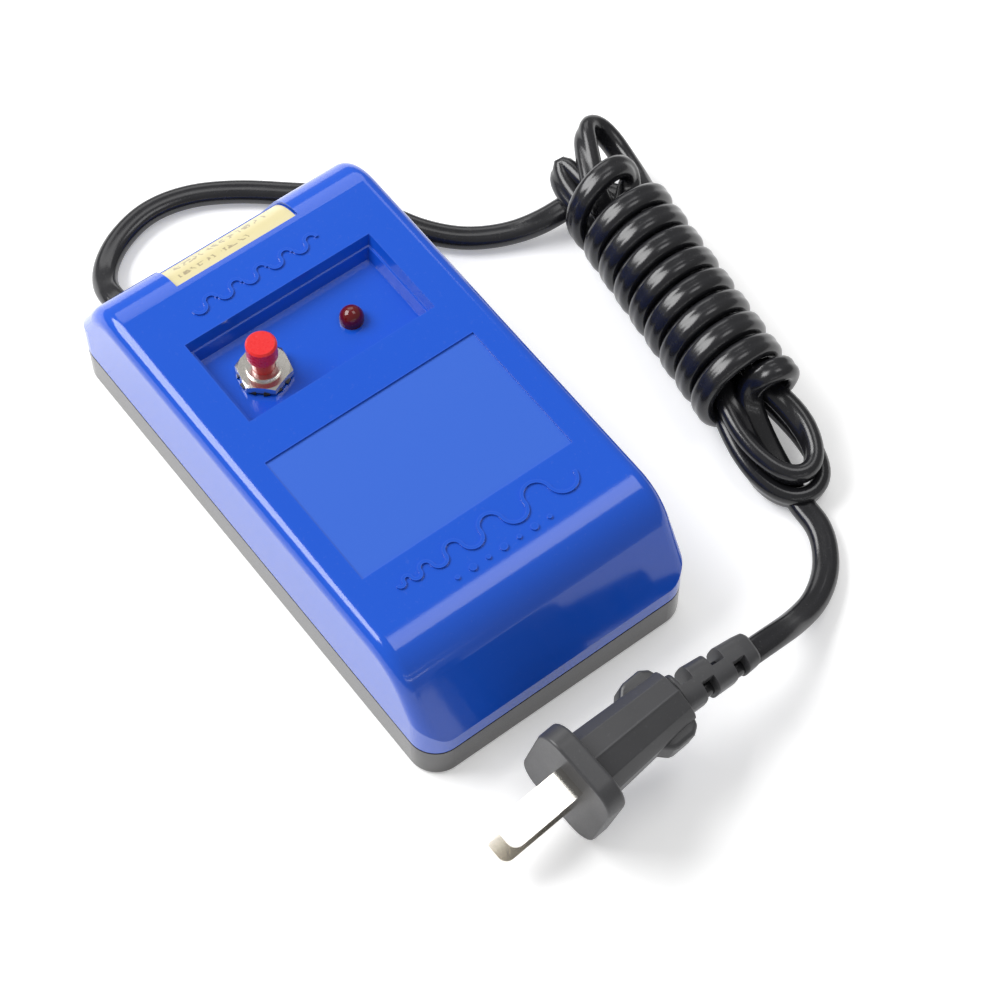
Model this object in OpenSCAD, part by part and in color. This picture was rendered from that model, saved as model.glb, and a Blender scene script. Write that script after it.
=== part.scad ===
// Bench demagnetizer for watch parts and tools, with its mains cord and plug.
// All sizes are millimetres.  Origin: middle of the case, on the bench; +Z up;
// the sloped nose points to -Y, the cord leaves the case towards +Y.
// The case is a plain two-part plastic box, the coil stands under the shallow
// field on top, the push switch and the lamp sit in the deeper control recess.

/* [Case] */
// case length, nose to rear
case_l = 121; // [112:1:140]
// case width
case_w = 63.6; // [60:0.1:77]
// height of the flat top above the bench
case_h = 31; // [30:0.5:36]
// height of the parting line between base and cover
seam_z = 8.8; // [8:0.1:10]
// corner radius seen from above
corner_r = 6; // [4:0.5:9]
// radius of the long top edges
edge_r = 3; // [2.6:0.1:4]
// radius of the bend between top and sloped ends
bend_r = 12; // [10:0.5:14]
// angle of the sloped ends from level
bend_a = 60; // [54:1:66]
// cover wall thickness
wall = 2.2; // [1.8:0.1:2.7]

/* [Control recess and top field] */
// recess width at the rim
recess_w = 44.2; // [40:0.1:48]
// recess length at the rim
recess_l = 22; // [19:0.1:23]
// recess depth
recess_d = 5.2; // [4:0.1:6]
// width of the shallow rest field
field_w = 49.4; // [40:0.1:52]
// length of the shallow rest field
field_l = 31.6; // [26:0.1:34]
// depth of the shallow rest field
field_d = 0.4; // [0.3:0.1:0.6]

/* [Push switch] */
// radius of the red cap
cap_r = 3.1; // [2.8:0.1:3.6]
// height of the cap above the threaded bushing
cap_h = 7.7; // [6.5:0.1:9]
// travel of the cap
press_t = 1.9; // [1.5:0.1:1.9]
// width of the hexagon nut across flats
nut_af = 10; // [9.5:0.1:12]

/* [Lamp] */
// lamp radius
lamp_r = 2.5; // [2:0.1:3]

/* [Cord and plug] */
// width of the flat twin cord
cord_w = 5.4; // [5:0.1:5.8]
// thickness of the flat twin cord
cord_t = 3.6; // [3.2:0.1:3.8]
// outer radius of the wrapped hank
hank_r = 11.1; // [10:0.1:12]
// length of the wrapped stretch
hank_l = 61; // [54:1:64]
// roll of the plug as it lies on the bench
plug_roll = -13.2; // [-24:0.2:-12]

/* [Hidden] */
$fn = 64;

// case
base_wall = wall + 1.4;
floor_t = 2.2;
lip_h = 1.5;
lip_gap = 0.2;
seam_groove = 0.5;
arc_y = case_l / 2 - 17.5;
arc_z = case_h - bend_r;
slope_run = 24;
low_z = seam_z - 5;
ceiling_z = case_h - wall;
emboss_h = 0.4;

// corner screws of the case
boss_x = case_w / 2 - 8.3;
boss_front_y = -case_l / 2 + 13.5;
boss_rear_y = case_l / 2 - 22;
boss_r = 3.6;
screw_r = 1.25;
screw_clear_r = 1.6;
screw_head_r = 2.7;
screw_head_h = 1.8;
screw_seat_z = 4;
screw_len = 12;

// label pocket over the rear edge
label_w = 29.2;
label_x = -1;
label_y = arc_y + 1.2;
label_low_z = 15;
pocket_d = 1;
label_t = 0.25;

// control recess
recess_y = 20.7;
recess_in = 1.8;
recess_step = 0.4;
panel_top = case_h - recess_d;
panel_low = panel_top - wall;
field_x = -0.3;
field_y = -15.4;

// push switch
switch_x = -11.8;
switch_y = 20;
bore_r = 2.38;
stem_r = 2.3;
bushing_r = 3.5;
washer_t = 0.5;
nut_t = 1.8;
bushing_top = panel_top + washer_t + nut_t + 0.7;
flange_t = 1.2;
body_r = 5;
body_top = panel_low - flange_t;
body_low = body_top - 9.4;
body_in_r = 3.9;
body_floor = body_low + 1.4;
collar_r = 3.1;
collar_t = 1.1;
collar_top = body_top - 1.1;
nose_low = body_top - 1;
bridge_t = 0.5;
bridge_r = 3.3;
bridge_low = collar_top - collar_t - bridge_t;
spigot_r = 1.2;
contact_top = bridge_low - press_t - 0.05;
lug_x = 3.1;

// lamp
lamp_x = 9.2;
lamp_y = 20;
lamp_dome_z = panel_top + 0.9;
lamp_low = panel_low - 2;
leg_x = 1.27;

// coil and core
core_y = -15.4;
core_z = 4.2;
bracket_l = 6.8;
bracket_t = 1.2;
bracket_gap = 0.2;
core_w = case_w - 2 * (base_wall + bracket_gap + bracket_l);
core_t = 14;
core_top = ceiling_z - 1;
yoke_h = 7;
mid_w = core_w / 3;
leg_w = mid_w / 2;
tube_t = 1.4;
tube_gap = 0.2;
window_gap = 0.3;
flange_w = core_w - 2 * leg_w - 2 * window_gap;
flange_l = 33;
bobbin_low = core_z + yoke_h + 0.2;
bobbin_top = core_top - 0.4;
wind_in = 1.2;
wind_w = flange_w - 2 * wind_in;
wind_l = 29.6;
tape_t = 0.4;
foot_x = core_w / 2 + (bracket_l + bracket_t) / 2;

// inner wiring: where the coil's ends are joined, and the wires' radius
joint_x = 4.4;
joint_y = core_y + flange_l / 2 + 3.5;
wire_r = 0.75;

// cord: the gland sits on the parting line at the rear wall
gland_x = 11.8 - case_w / 2;
gland_z = 7.2;
gland_r = 4.4;
gland_groove_r = 3.8;
rear_y = case_l / 2;
clamp_y = rear_y - 8.5;
clamp_post = 5.8;
clamp_w = 15.6;
core_a_x = gland_x - 1.2;
core_b_x = gland_x + 1.2;
gland_flange_t = 1.2;
cord_sides = 10;
cord_steps = 2;
lead_route = [[-20, 52, 7.2], [-20, 57, 7.2], [-20, 62, 7.2], [-20, 66, 6.4], [-19, 70, 4.4], [-16, 75, 2.6], [-10, 79.5, 2],
    [-1, 82, 2], [8, 80.5, 2], [17, 75.5, 2], [26, 68, 2], [34, 60.5, 2], [39, 51, 2],
    [43, 43, 2], [49, 36, 2], [57, 31, 2.6], [64, 28.4, 4.2], [70, 25.6, 5.4]];
hank_x = 71.2;
hank_y = -7.5;
hank_a = 8;
// loops at the hank's ends: [middle across, middle along, width, length, lowest, highest]
end_eye = [0.5, -36.2, 16.2, 25.4, 2.4, 11.4];
top_loop = [5.4, 37.6, 12, 22, 8, 14.4];
side_loop = [-3.4, 35.4, 7.4, 18.4, 5.2, 12];
tail_route = [[64.6, -51, 2.4], [63.9, -56, 2.1], [63.2, -61, 2.1], [61.4, -66, 2.2], [57, -71.6, 2.4], [50.6, -75.6, 3.4],
    [44, -77.6, 6], [38, -79, 9.6], [33, -79.5, 11.2], [28, -79.8, 12], [22, -79.9, 12.7]];

// plug, built along +X towards its blades, blades one above the other
plug_pos = [-16.4, -81.8, 14.6];
plug_yaw = 184.8;
plug_pitch = -0.9;
plug_flange_l = 26.4;
plug_flange_w = 19.2;
plug_flange_t = 3;
plug_body_l = 24.5;
relief_l = 19;
relief_drop = 5;
relief_turn = 6;
slot_l = 2.4;
blade_l = 16.5;
blade_w = 6.35;
blade_t = 1.5;
blade_gap = 12.7;

// ---- shared shapes ----

module rounded_plate(w, l, r) {
    union() {
        square([w - 2 * r, l], center = true);
        square([w, l - 2 * r], center = true);
        for (sx = [-1, 1]) {
            for (sy = [-1, 1]) {
                translate([sx * (w / 2 - r), sy * (l / 2 - r)]) circle(r = r);
            }
        }
    }
}

// block with the outline of the case, grown by g, between two heights
module plan_block(g, z0, z1) {
    translate([0, 0, z0]) {
        linear_extrude(height = z1 - z0) rounded_plate(case_w + 2 * g, case_l + 2 * g, corner_r + g);
    }
}

// hole for the cord gland, with a seat for its flange flush with the rear wall
module gland_bore() {
    translate([gland_x, rear_y - 8, gland_z]) rotate([-90, 0, 0]) cylinder(h = 12, r = gland_groove_r);
    translate([gland_x, rear_y - gland_flange_t, gland_z]) rotate([-90, 0, 0]) cylinder(h = 4, r = gland_r);
}

// cross-section of a run under the skin: flat top at height r, both top edges rounded
module run_section(w, r, e) {
    union() {
        translate([-w / 2, -0.01]) square([w, r - e + 0.01]);
        translate([-w / 2 + e, -0.01]) square([w - 2 * e, r + 0.01]);
        for (sx = [-1, 1]) {
            translate([sx * (w / 2 - e), r - e]) circle(r = e);
        }
    }
}

// the same cross-section laid out for turning: radius to the right, width up and down
module turn_section(w, r, e) {
    union() {
        translate([0, -w / 2]) square([r - e, w]);
        translate([0, -w / 2 + e]) square([r, w - 2 * e]);
        for (sy = [-1, 1]) {
            translate([r - e, sy * (w / 2 - e)]) circle(r = e);
        }
    }
}

module case_end(g) {
    w = case_w + 2 * g;
    r = bend_r + g;
    e = edge_r + g;
    translate([0, arc_y, arc_z]) {
        rotate([0, 90, 0]) rotate([0, 0, 180 - bend_a]) rotate_extrude(angle = bend_a) turn_section(w, r, e);
        rotate([-bend_a, 0, 0]) translate([0, slope_run, 0]) rotate([90, 0, 0]) {
            linear_extrude(height = slope_run) run_section(w, r, e);
        }
    }
}

// outer form of the cover, grown by g (negative for the hollow and for pockets)
module case_form(g) {
    w = case_w + 2 * g;
    dy = slope_run * cos(bend_a);
    dz = slope_run * sin(bend_a);
    intersection() {
        plan_block(g, seam_z, case_h + 5);
        union() {
            translate([0, arc_y, arc_z]) rotate([90, 0, 0]) {
                linear_extrude(height = 2 * arc_y) run_section(w, bend_r + g, edge_r + g);
            }
            case_end(g);
            mirror([0, 1, 0]) case_end(g);
            rotate([90, 0, 90]) translate([0, 0, -w / 2]) linear_extrude(height = w) polygon([
                [-arc_y - dy, low_z], [arc_y + dy, low_z], [arc_y + dy, arc_z - dz],
                [arc_y, arc_z], [-arc_y, arc_z], [-arc_y - dy, arc_z - dz]]);
        }
    }
}

// stepped tapered pocket: side view drawn once for each direction
module pocket_profile(w, g) {
    h = w / 2 + g;
    t = recess_in;
    s = recess_step;
    mid = recess_d * 0.45;
    polygon([[-h, 1], [-h, 0], [-h + t / 2 - s / 2, -mid], [-h + t / 2 + s / 2, -mid], [-h + t, -recess_d - g],
        [h - t, -recess_d - g], [h - t / 2 - s / 2, -mid], [h - t / 2 + s / 2, -mid], [h, 0], [h, 1]]);
}

module recess_form(g) {
    translate([0, recess_y, case_h]) intersection() {
        translate([0, recess_l, 0]) rotate([90, 0, 0]) linear_extrude(height = 2 * recess_l) pocket_profile(recess_w, g);
        rotate([90, 0, 90]) translate([0, 0, -recess_w]) linear_extrude(height = 2 * recess_w) pocket_profile(recess_l, g);
    }
}

module at_corners() {
    for (sx = [-1, 1]) {
        translate([sx * boss_x, boss_front_y, 0]) children();
        translate([sx * boss_x, boss_rear_y, 0]) children();
    }
}

// half ring of a raised wave line, dir 1 opens downwards, -1 upwards
module wave_half(r, dir) {
    w = 0.7;
    intersection() {
        difference() {
            circle(r = r + w / 2);
            circle(r = r - w / 2);
        }
        translate([-r - w, dir > 0 ? 0 : -r - w]) square([2 * (r + w), r + w]);
    }
}

// raised wave that dies away: each swing smaller than the one before
module fading_wave() {
    swings = [3, 2.9, 2.7, 2.5, 2.2, 1.9, 1.6, 1.3, 1.05, 0.85, 0.7];
    for (i = [0 : len(swings) - 1]) {
        start = i == 0 ? 0 : 2 * sum_to(swings, i - 1);
        translate([start + swings[i], 0]) wave_half(swings[i], i % 2 == 0 ? 1 : -1);
    }
}

function sum_to(list, n) = n < 0 ? 0 : list[n] + sum_to(list, n - 1);

module top_marks() {
    translate([0, 0, case_h - 0.1]) linear_extrude(height = emboss_h + 0.1) {
        translate([20.7, -36.4]) rotate([0, 0, 180]) fading_wave();
        for (i = [-3 : 3]) {
            translate([i * 3.6, -41.6]) circle(r = i % 2 == 0 ? 0.8 : 0.5);
        }
        for (i = [-2 : 2]) {
            translate([i * 6 - 1.5, 37.2]) {
                translate([1.4, 0]) wave_half(1.4, 1);
                translate([-1.4, 0]) wave_half(1.4, -1);
            }
        }
    }
}

// oval with two parallel sides, longer than it is wide
module stadium(w, l) {
    union() {
        square([w, l - w], center = true);
        for (s = [-1, 1]) {
            translate([0, s * (l - w) / 2]) circle(r = w / 2);
        }
    }
}

// smooth curve through the route points
function pt(p, i) = p[max(0, min(len(p) - 1, i))];
function curve_at(p, i, t) = 0.5 * (2 * pt(p, i) + (pt(p, i + 1) - pt(p, i - 1)) * t
    + (2 * pt(p, i - 1) - 5 * pt(p, i) + 4 * pt(p, i + 1) - pt(p, i + 2)) * t * t
    + (3 * pt(p, i) - pt(p, i - 1) - 3 * pt(p, i + 1) + pt(p, i + 2)) * t * t * t);
function curve(p, k) = [for (i = [0 : len(p) - 2]) for (j = [0 : k - 1]) curve_at(p, i, j / k), p[len(p) - 1]];
function unit(v) = v / norm(v);
function along(c, i) = unit(c[min(len(c) - 1, i + 1)] - c[max(0, i - 1)]);
function side(c, i, flat) = unit(cross(along(c, i), flat));

// tube along a curve: w is its size across the direction flat, t its size along it
module tube(route, w, t, flat, n) {
    c = curve(route, cord_steps);
    m = len(c);
    points = [for (i = [0 : m - 1]) for (j = [0 : n - 1])
        let (s = side(c, i, flat), up = cross(s, along(c, i)))
        c[i] + s * cos(360 * j / n) * w / 2 + up * sin(360 * j / n) * t / 2];
    faces = concat(
        [[for (j = [0 : n - 1]) j]],
        [[for (j = [n - 1 : -1 : 0]) (m - 1) * n + j]],
        [for (i = [0 : m - 2]) for (j = [0 : n - 1]) [i * n + j, (i + 1) * n + j, (i + 1) * n + (j + 1) % n]],
        [for (i = [0 : m - 2]) for (j = [0 : n - 1]) [i * n + j, (i + 1) * n + (j + 1) % n, i * n + (j + 1) % n]]);
    polyhedron(points = points, faces = faces);
}

module cord_tube(route) {
    tube(route, cord_w, cord_t, [0, 0, 1], cord_sides);
}

module wire_run(route, r) {
    tube(route, 2 * r, 2 * r, [1, 0, 0], 8);
}

// round wire wound into a compression spring
module wound_wire(r, wire_r, h, turns) {
    n = 8;
    per_turn = 20;
    m = turns * per_turn + 1;
    points = [for (i = [0 : m - 1]) for (j = [0 : n - 1])
        let (a = 360 * i / per_turn, b = 360 * j / n, q = r + wire_r * cos(b))
        [q * cos(a), q * sin(a), wire_r + (h - 2 * wire_r) * i / (m - 1) + wire_r * sin(b)]];
    faces = concat(
        [[for (j = [n - 1 : -1 : 0]) j]],
        [[for (j = [0 : n - 1]) (m - 1) * n + j]],
        [for (i = [0 : m - 2]) for (j = [0 : n - 1]) [i * n + j, (i + 1) * n + (j + 1) % n, (i + 1) * n + j]],
        [for (i = [0 : m - 2]) for (j = [0 : n - 1]) [i * n + j, i * n + (j + 1) % n, (i + 1) * n + (j + 1) % n]]);
    polyhedron(points = points, faces = faces);
}

module hex_plate(af, h) {
    cylinder(h = h, r = af / 2 / cos(30), $fn = 6);
}

// ---- case ----

module top_shell() {
    color("royalblue") difference() {
        union() {
            difference() {
                case_form(0);
                difference() {
                    case_form(-wall);
                    at_corners() translate([0, 0, seam_z]) cylinder(h = case_h, r = boss_r);
                    recess_form(wall);
                }
                plan_block(-wall, seam_z - 1, seam_z + 0.01);
            }
            at_corners() translate([0, 0, seam_z]) cylinder(h = 10, r = boss_r);
            top_marks();
        }
        recess_form(0);
        translate([field_x - field_w / 2, field_y - field_l / 2, case_h - field_d]) cube([field_w, field_l, 1]);
        label_pocket();
        translate([switch_x, switch_y, panel_low - 1]) cylinder(h = wall + 2, r = bushing_r);
        translate([lamp_x, lamp_y, panel_low - 1]) cylinder(h = wall + 2, r = lamp_r);
        at_corners() translate([0, 0, seam_z - 1]) cylinder(h = screw_len - screw_seat_z + 1.5, r = screw_r);
        gland_bore();
    }
}

// strip of the outer skin over the rear edge, between two depths
module label_strip(outer, inner, w) {
    intersection() {
        difference() {
            case_form(outer);
            case_form(inner);
        }
        translate([label_x - w / 2, label_y, label_low_z]) cube([w, 40, 40]);
    }
}

module label_pocket() {
    intersection() {
        difference() {
            plan_block(2, seam_z, case_h + 5);
            case_form(-pocket_d);
        }
        translate([label_x - label_w / 2, label_y, label_low_z]) cube([label_w, 40, 40]);
    }
}

module bottom_shell() {
    color("dimgray") difference() {
        union() {
            difference() {
                union() {
                    plan_block(-0.5, 0, 0.5);
                    plan_block(0, 0.5, seam_z - seam_groove);
                    plan_block(-seam_groove, seam_z - seam_groove, seam_z);
                    plan_block(-wall - lip_gap, seam_z, seam_z + lip_h);
                }
                plan_block(-base_wall, floor_t, seam_z + 5);
            }
            at_corners() cylinder(h = seam_z, r = boss_r);
            for (sx = [-1, 1]) {
                translate([sx * foot_x, core_y, 0]) cylinder(h = core_z, r = 3);
                translate([sx * 12 - 4, core_y - core_t / 2, 0]) cube([8, core_t, core_z]);
                translate([gland_x + sx * clamp_post, clamp_y, 0]) cylinder(h = 5.4, r = 2.4);
            }
        }
        at_corners() {
            translate([0, 0, -1]) cylinder(h = screw_seat_z + 1, r = screw_head_r + 0.3);
            translate([0, 0, -1]) cylinder(h = seam_z + 4, r = screw_clear_r);
            translate([0, 0, seam_z]) cylinder(h = 4, r = boss_r + 0.3);
        }
        for (sx = [-1, 1]) {
            translate([sx * foot_x, core_y, 0.8]) cylinder(h = core_z, r = 1);
            translate([gland_x + sx * clamp_post, clamp_y, 1]) cylinder(h = 5, r = 0.9);
        }
        gland_bore();
    }
}

// pan head with a cross slot, plain shank
module self_tapper(shank_r, len, head_r, head_h) {
    difference() {
        union() {
            translate([0, 0, -head_h]) cylinder(h = head_h, r = head_r);
            cylinder(h = len - shank_r, r = shank_r);
            translate([0, 0, len - shank_r]) cylinder(h = shank_r, r1 = shank_r, r2 = 0.2);
        }
        for (a = [0, 90]) {
            rotate([0, 0, a]) translate([-head_r * 0.6, -0.35, -head_h - 0.1]) cube([head_r * 1.2, 0.7, head_h * 0.6]);
        }
    }
}

module case_screws() {
    color("silver") at_corners() translate([0, 0, screw_seat_z]) {
        self_tapper(screw_r, screw_len, screw_head_r, screw_head_h);
    }
}

module rear_label() {
    color("khaki") label_strip(-pocket_d + label_t, -pocket_d, label_w - 0.6);
}

// ---- push switch ----

module switch_cap() {
    color("red") translate([switch_x, switch_y, 0]) {
        rotate_extrude() polygon([[0, bridge_low - 2.2], [spigot_r, bridge_low - 2.2],
            [spigot_r, bridge_low + bridge_t], [collar_r, bridge_low + bridge_t], [collar_r, collar_top],
            [stem_r, collar_top], [stem_r, bushing_top + 2.5], [cap_r, bushing_top + 3.6],
            [cap_r, bushing_top + cap_h - 0.4], [cap_r - 0.4, bushing_top + cap_h], [0, bushing_top + cap_h]]);
    }
}

module switch_bushing() {
    color("gainsboro") translate([switch_x, switch_y, 0]) difference() {
        union() {
            translate([0, 0, nose_low]) cylinder(h = bushing_top - nose_low, r = bushing_r);
            translate([0, 0, body_top]) cylinder(h = flange_t, r = body_r);
        }
        translate([0, 0, nose_low - 1]) cylinder(h = bushing_top - nose_low + 2, r = bore_r);
        for (z = [panel_top + washer_t + nut_t + 0.2 : 0.45 : bushing_top - 0.1]) {
            translate([0, 0, z]) rotate_extrude() translate([bushing_r, 0]) circle(r = 0.12, $fn = 8);
        }
    }
}

module switch_nut() {
    color("silver") translate([switch_x, switch_y, panel_top + washer_t]) difference() {
        intersection() {
            rotate([0, 0, 18]) hex_plate(nut_af, nut_t);
            union() {
                cylinder(h = nut_t - 0.4, r = nut_af);
                translate([0, 0, nut_t - 0.4]) cylinder(h = 0.4, r1 = nut_af / 2 + 0.8, r2 = nut_af / 2 + 0.1);
            }
        }
        translate([0, 0, -1]) cylinder(h = nut_t + 2, r = bushing_r);
    }
}

module switch_lock_washer() {
    color("gray") translate([switch_x, switch_y, panel_top]) difference() {
        union() {
            cylinder(h = washer_t, r = 4.9);
            for (i = [0 : 11]) {
                rotate([0, 0, i * 30]) translate([4.5, -0.6, 0]) cube([0.9, 1.2, washer_t]);
            }
        }
        translate([0, 0, -1]) cylinder(h = washer_t + 2, r = bushing_r);
    }
}

module switch_body() {
    color("black") translate([switch_x, switch_y, 0]) difference() {
        translate([0, 0, body_low]) cylinder(h = body_top - body_low, r = body_r);
        translate([0, 0, body_floor]) cylinder(h = body_top - body_floor + 1, r = body_in_r);
        for (sx = [-1, 1]) {
            translate([sx * lug_x - 0.35, -0.8, body_low - 1]) cube([0.7, 1.6, 4]);
        }
    }
}

module switch_bridge() {
    color("goldenrod") translate([switch_x, switch_y, bridge_low]) difference() {
        cylinder(h = bridge_t, r = bridge_r);
        translate([0, 0, -1]) cylinder(h = bridge_t + 2, r = spigot_r);
    }
}

module switch_spring() {
    color("silver") translate([switch_x, switch_y, body_floor]) {
        wound_wire(1.9, 0.2, bridge_low - body_floor, 5);
    }
}

module switch_terminals() {
    color("gold") translate([switch_x, switch_y, 0]) {
        for (sx = [-1, 1]) {
            difference() {
                translate([sx * lug_x - 0.35, -0.8, body_low - 4]) cube([0.7, 1.6, contact_top - body_low + 4]);
                translate([sx * lug_x - 1, 0, body_low - 2.6]) rotate([0, 90, 0]) cylinder(h = 2, r = 0.4);
            }
        }
    }
}

// ---- lamp ----

module led_lens() {
    color("darkred") translate([lamp_x, lamp_y, 0]) union() {
        translate([0, 0, lamp_low]) cylinder(h = lamp_dome_z - lamp_low, r = lamp_r);
        translate([0, 0, lamp_dome_z]) sphere(r = lamp_r);
        translate([0, 0, panel_low - 1]) cylinder(h = 1, r = lamp_r + 0.4);
    }
}

module led_legs() {
    color("silver") for (sx = [-1, 1]) {
        translate([lamp_x + sx * leg_x - 0.25, lamp_y - 0.25, lamp_low - 5]) cube([0.5, 0.5, 5]);
    }
}

module axial_part(x, y, z, len, r, lead) {
    translate([x, y, z]) rotate([90, 0, 0]) {
        translate([0, 0, -len / 2]) cylinder(h = len, r = r);
        for (s = [-1, 1]) {
            translate([0, 0, s * (len / 2 - 0.6) - 0.6]) cylinder(h = 1.2, r = r + 0.2);
        }
        translate([0, 0, -len / 2 - lead]) cylinder(h = len + 2 * lead, r = 0.3);
    }
}

module led_resistor() {
    color("tan") axial_part(lamp_x + leg_x + 1.4, lamp_y + 6.5, lamp_low - 4.2, 6.4, 1.1, 2.5);
}

module led_diode() {
    color("black") axial_part(lamp_x - leg_x - 1.4, lamp_y + 6.5, lamp_low - 4.2, 5, 1.3, 2.5);
}

// ---- coil and core ----

module core_stack() {
    color("slategray") translate([0, core_y + core_t / 2, core_z]) rotate([90, 0, 0]) {
        linear_extrude(height = core_t) difference() {
            translate([-core_w / 2, 0]) square([core_w, core_top - core_z]);
            for (sx = [-1, 1]) {
                translate([sx > 0 ? mid_w / 2 : -core_w / 2 + leg_w, yoke_h]) {
                    square([core_w / 2 - leg_w - mid_w / 2, core_top - core_z]);
                }
            }
        }
    }
}

module coil_bobbin() {
    in_w = mid_w + 2 * tube_gap;
    in_l = core_t + 2 * tube_gap;
    color("ivory") translate([0, core_y, 0]) difference() {
        union() {
            for (z = [bobbin_low, bobbin_top - 1.2]) {
                translate([0, 0, z]) linear_extrude(height = 1.2) rounded_plate(flange_w, flange_l, 1.5);
            }
            translate([0, 0, bobbin_low]) linear_extrude(height = bobbin_top - bobbin_low) {
                rounded_plate(in_w + 2 * tube_t, in_l + 2 * tube_t, 1);
            }
        }
        translate([-in_w / 2, -in_l / 2, bobbin_low - 1]) cube([in_w, in_l, bobbin_top - bobbin_low + 2]);
    }
}

module coil_winding() {
    hole_w = mid_w + 2 * tube_gap + 2 * tube_t;
    hole_l = core_t + 2 * tube_gap + 2 * tube_t;
    color("peru") translate([0, core_y, bobbin_low + 1.2]) {
        linear_extrude(height = bobbin_top - bobbin_low - 2.4) difference() {
            rounded_plate(wind_w, wind_l, 4);
            rounded_plate(hole_w, hole_l, 1);
        }
    }
}

module coil_tape() {
    color("gold") translate([0, core_y, bobbin_low + 2]) {
        linear_extrude(height = bobbin_top - bobbin_low - 4) difference() {
            rounded_plate(wind_w + 2 * tape_t, wind_l + 2 * tape_t, 4 + tape_t);
            rounded_plate(wind_w, wind_l, 4);
        }
    }
}

module core_brackets() {
    color("silver") for (sx = [-1, 1]) {
        translate([0, core_y, 0]) difference() {
            union() {
                translate([sx > 0 ? core_w / 2 : -core_w / 2 - bracket_t, -6, core_z]) cube([bracket_t, 12, 14]);
                translate([sx > 0 ? core_w / 2 : -core_w / 2 - bracket_l, -6, core_z]) cube([bracket_l, 12, bracket_t]);
            }
            translate([sx * foot_x, 0, core_z - 1]) cylinder(h = 4, r = 1.3);
        }
    }
}

module core_screws() {
    color("silver") for (sx = [-1, 1]) {
        translate([sx * foot_x, core_y, core_z + bracket_t]) mirror([0, 0, 1]) self_tapper(1, 4, 1.9, 1.2);
    }
}

// ---- cord entry ----

module cord_grommet() {
    color("black") difference() {
        union() {
            translate([gland_x, rear_y - gland_flange_t, gland_z]) rotate([-90, 0, 0]) {
                cylinder(h = gland_flange_t, r = gland_r);
            }
            translate([gland_x, rear_y - base_wall - 1, gland_z]) rotate([-90, 0, 0]) {
                cylinder(h = base_wall + 1, r = gland_groove_r);
            }
        }
        translate([gland_x, rear_y + 3, gland_z]) rotate([90, 0, 0]) {
            linear_extrude(height = 12) rotate([0, 0, 90]) stadium(cord_t, cord_w);
        }
    }
}

module cord_clamp() {
    color("ivory") translate([gland_x, clamp_y, gland_z + cord_t / 2 + 0.1]) difference() {
        linear_extrude(height = 2) rounded_plate(clamp_w, 5.2, 2.5);
        for (sx = [-1, 1]) {
            translate([sx * clamp_post, 0, -1]) cylinder(h = 4, r = 1.2);
        }
    }
}

module clamp_screws() {
    color("silver") for (sx = [-1, 1]) {
        translate([gland_x + sx * clamp_post, clamp_y, gland_z + cord_t / 2 + 2.1]) {
            mirror([0, 0, 1]) self_tapper(0.9, 9, 1.8, 1.2);
        }
    }
}

// ---- inner wiring ----

module wire_live() {
    color("saddlebrown") wire_run([[core_a_x, clamp_y - 0.4, gland_z], [core_a_x, clamp_y - 4.5, gland_z],
        [gland_x + 1, clamp_y - 11, 7], [switch_x - 4.7, switch_y + 10, 6.4],
        [switch_x - lug_x, switch_y + 1.6, body_low - 4.7]], wire_r);
}

module wire_neutral() {
    color("steelblue") wire_run([[core_b_x, clamp_y - 0.4, gland_z], [core_b_x, clamp_y - 3.5, gland_z],
        [-10, clamp_y - 8, 4.6], [0, clamp_y - 16, 4], [2.6, 20, 4], [joint_x - 1, joint_y + 0.4, 4.6],
        [joint_x, joint_y, 14]], wire_r);
}

module wire_coil() {
    color("firebrick") wire_run([[switch_x + lug_x, switch_y + 1.6, body_low - 4.7], [-6, 13, 5], [-5, joint_y + 1.4, 5],
        [-joint_x, joint_y, 14]], wire_r);
}

module wire_lamp() {
    color("dimgray") union() {
        wire_run([[lamp_x + leg_x + 1.4, lamp_y + 13, lamp_low - 4.2], [lamp_x + 1, lamp_y + 14.5, 12],
            [4.6, 33.5, 6]], 0.5);
        wire_run([[lamp_x - leg_x - 1.4, lamp_y + 13, lamp_low - 4.2], [lamp_x - 6, lamp_y + 12, 12],
            [-3, 26, 9.5], [-5, 22, 8.6]], 0.5);
    }
}

module wire_sleeves() {
    color("black") union() {
        for (sx = [-1, 1]) {
            translate([sx * joint_x, joint_y, 12]) cylinder(h = 8, r = 1.1);
        }
        translate([switch_x - lug_x, switch_y + 1.6, body_low - 4.6]) sphere(r = 1.3);
        translate([switch_x + lug_x, switch_y + 1.6, body_low - 4.6]) sphere(r = 1.3);
    }
}

// ---- cord and plug ----

module cord_lead() {
    color("black") cord_tube(lead_route);
}

module cord_tail() {
    color("black") cord_tube(tail_route);
}

// one end loop of the hank as a flat plate
module hank_loop(loop) {
    translate([loop[0], loop[1], loop[4]]) linear_extrude(height = loop[5] - loop[4]) stadium(loop[2], loop[3]);
}

// outer shape of the wrapped hank with the loops at its ends
module cord_hank() {
    color("black") translate([hank_x, hank_y, 0]) rotate([0, 0, -hank_a]) difference() {
        union() {
            translate([0, hank_l / 2, hank_r]) rotate([90, 0, 0]) cylinder(h = hank_l, r = hank_r);
            hank_loop(end_eye);
            hank_loop(top_loop);
            hank_loop(side_loop);
        }
        translate([3.4, -37.4, -1]) linear_extrude(height = 16) stadium(2.6, 9);
    }
}

module at_plug() {
    translate(plug_pos) rotate([plug_roll, -plug_pitch, plug_yaw]) children();
}

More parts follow.
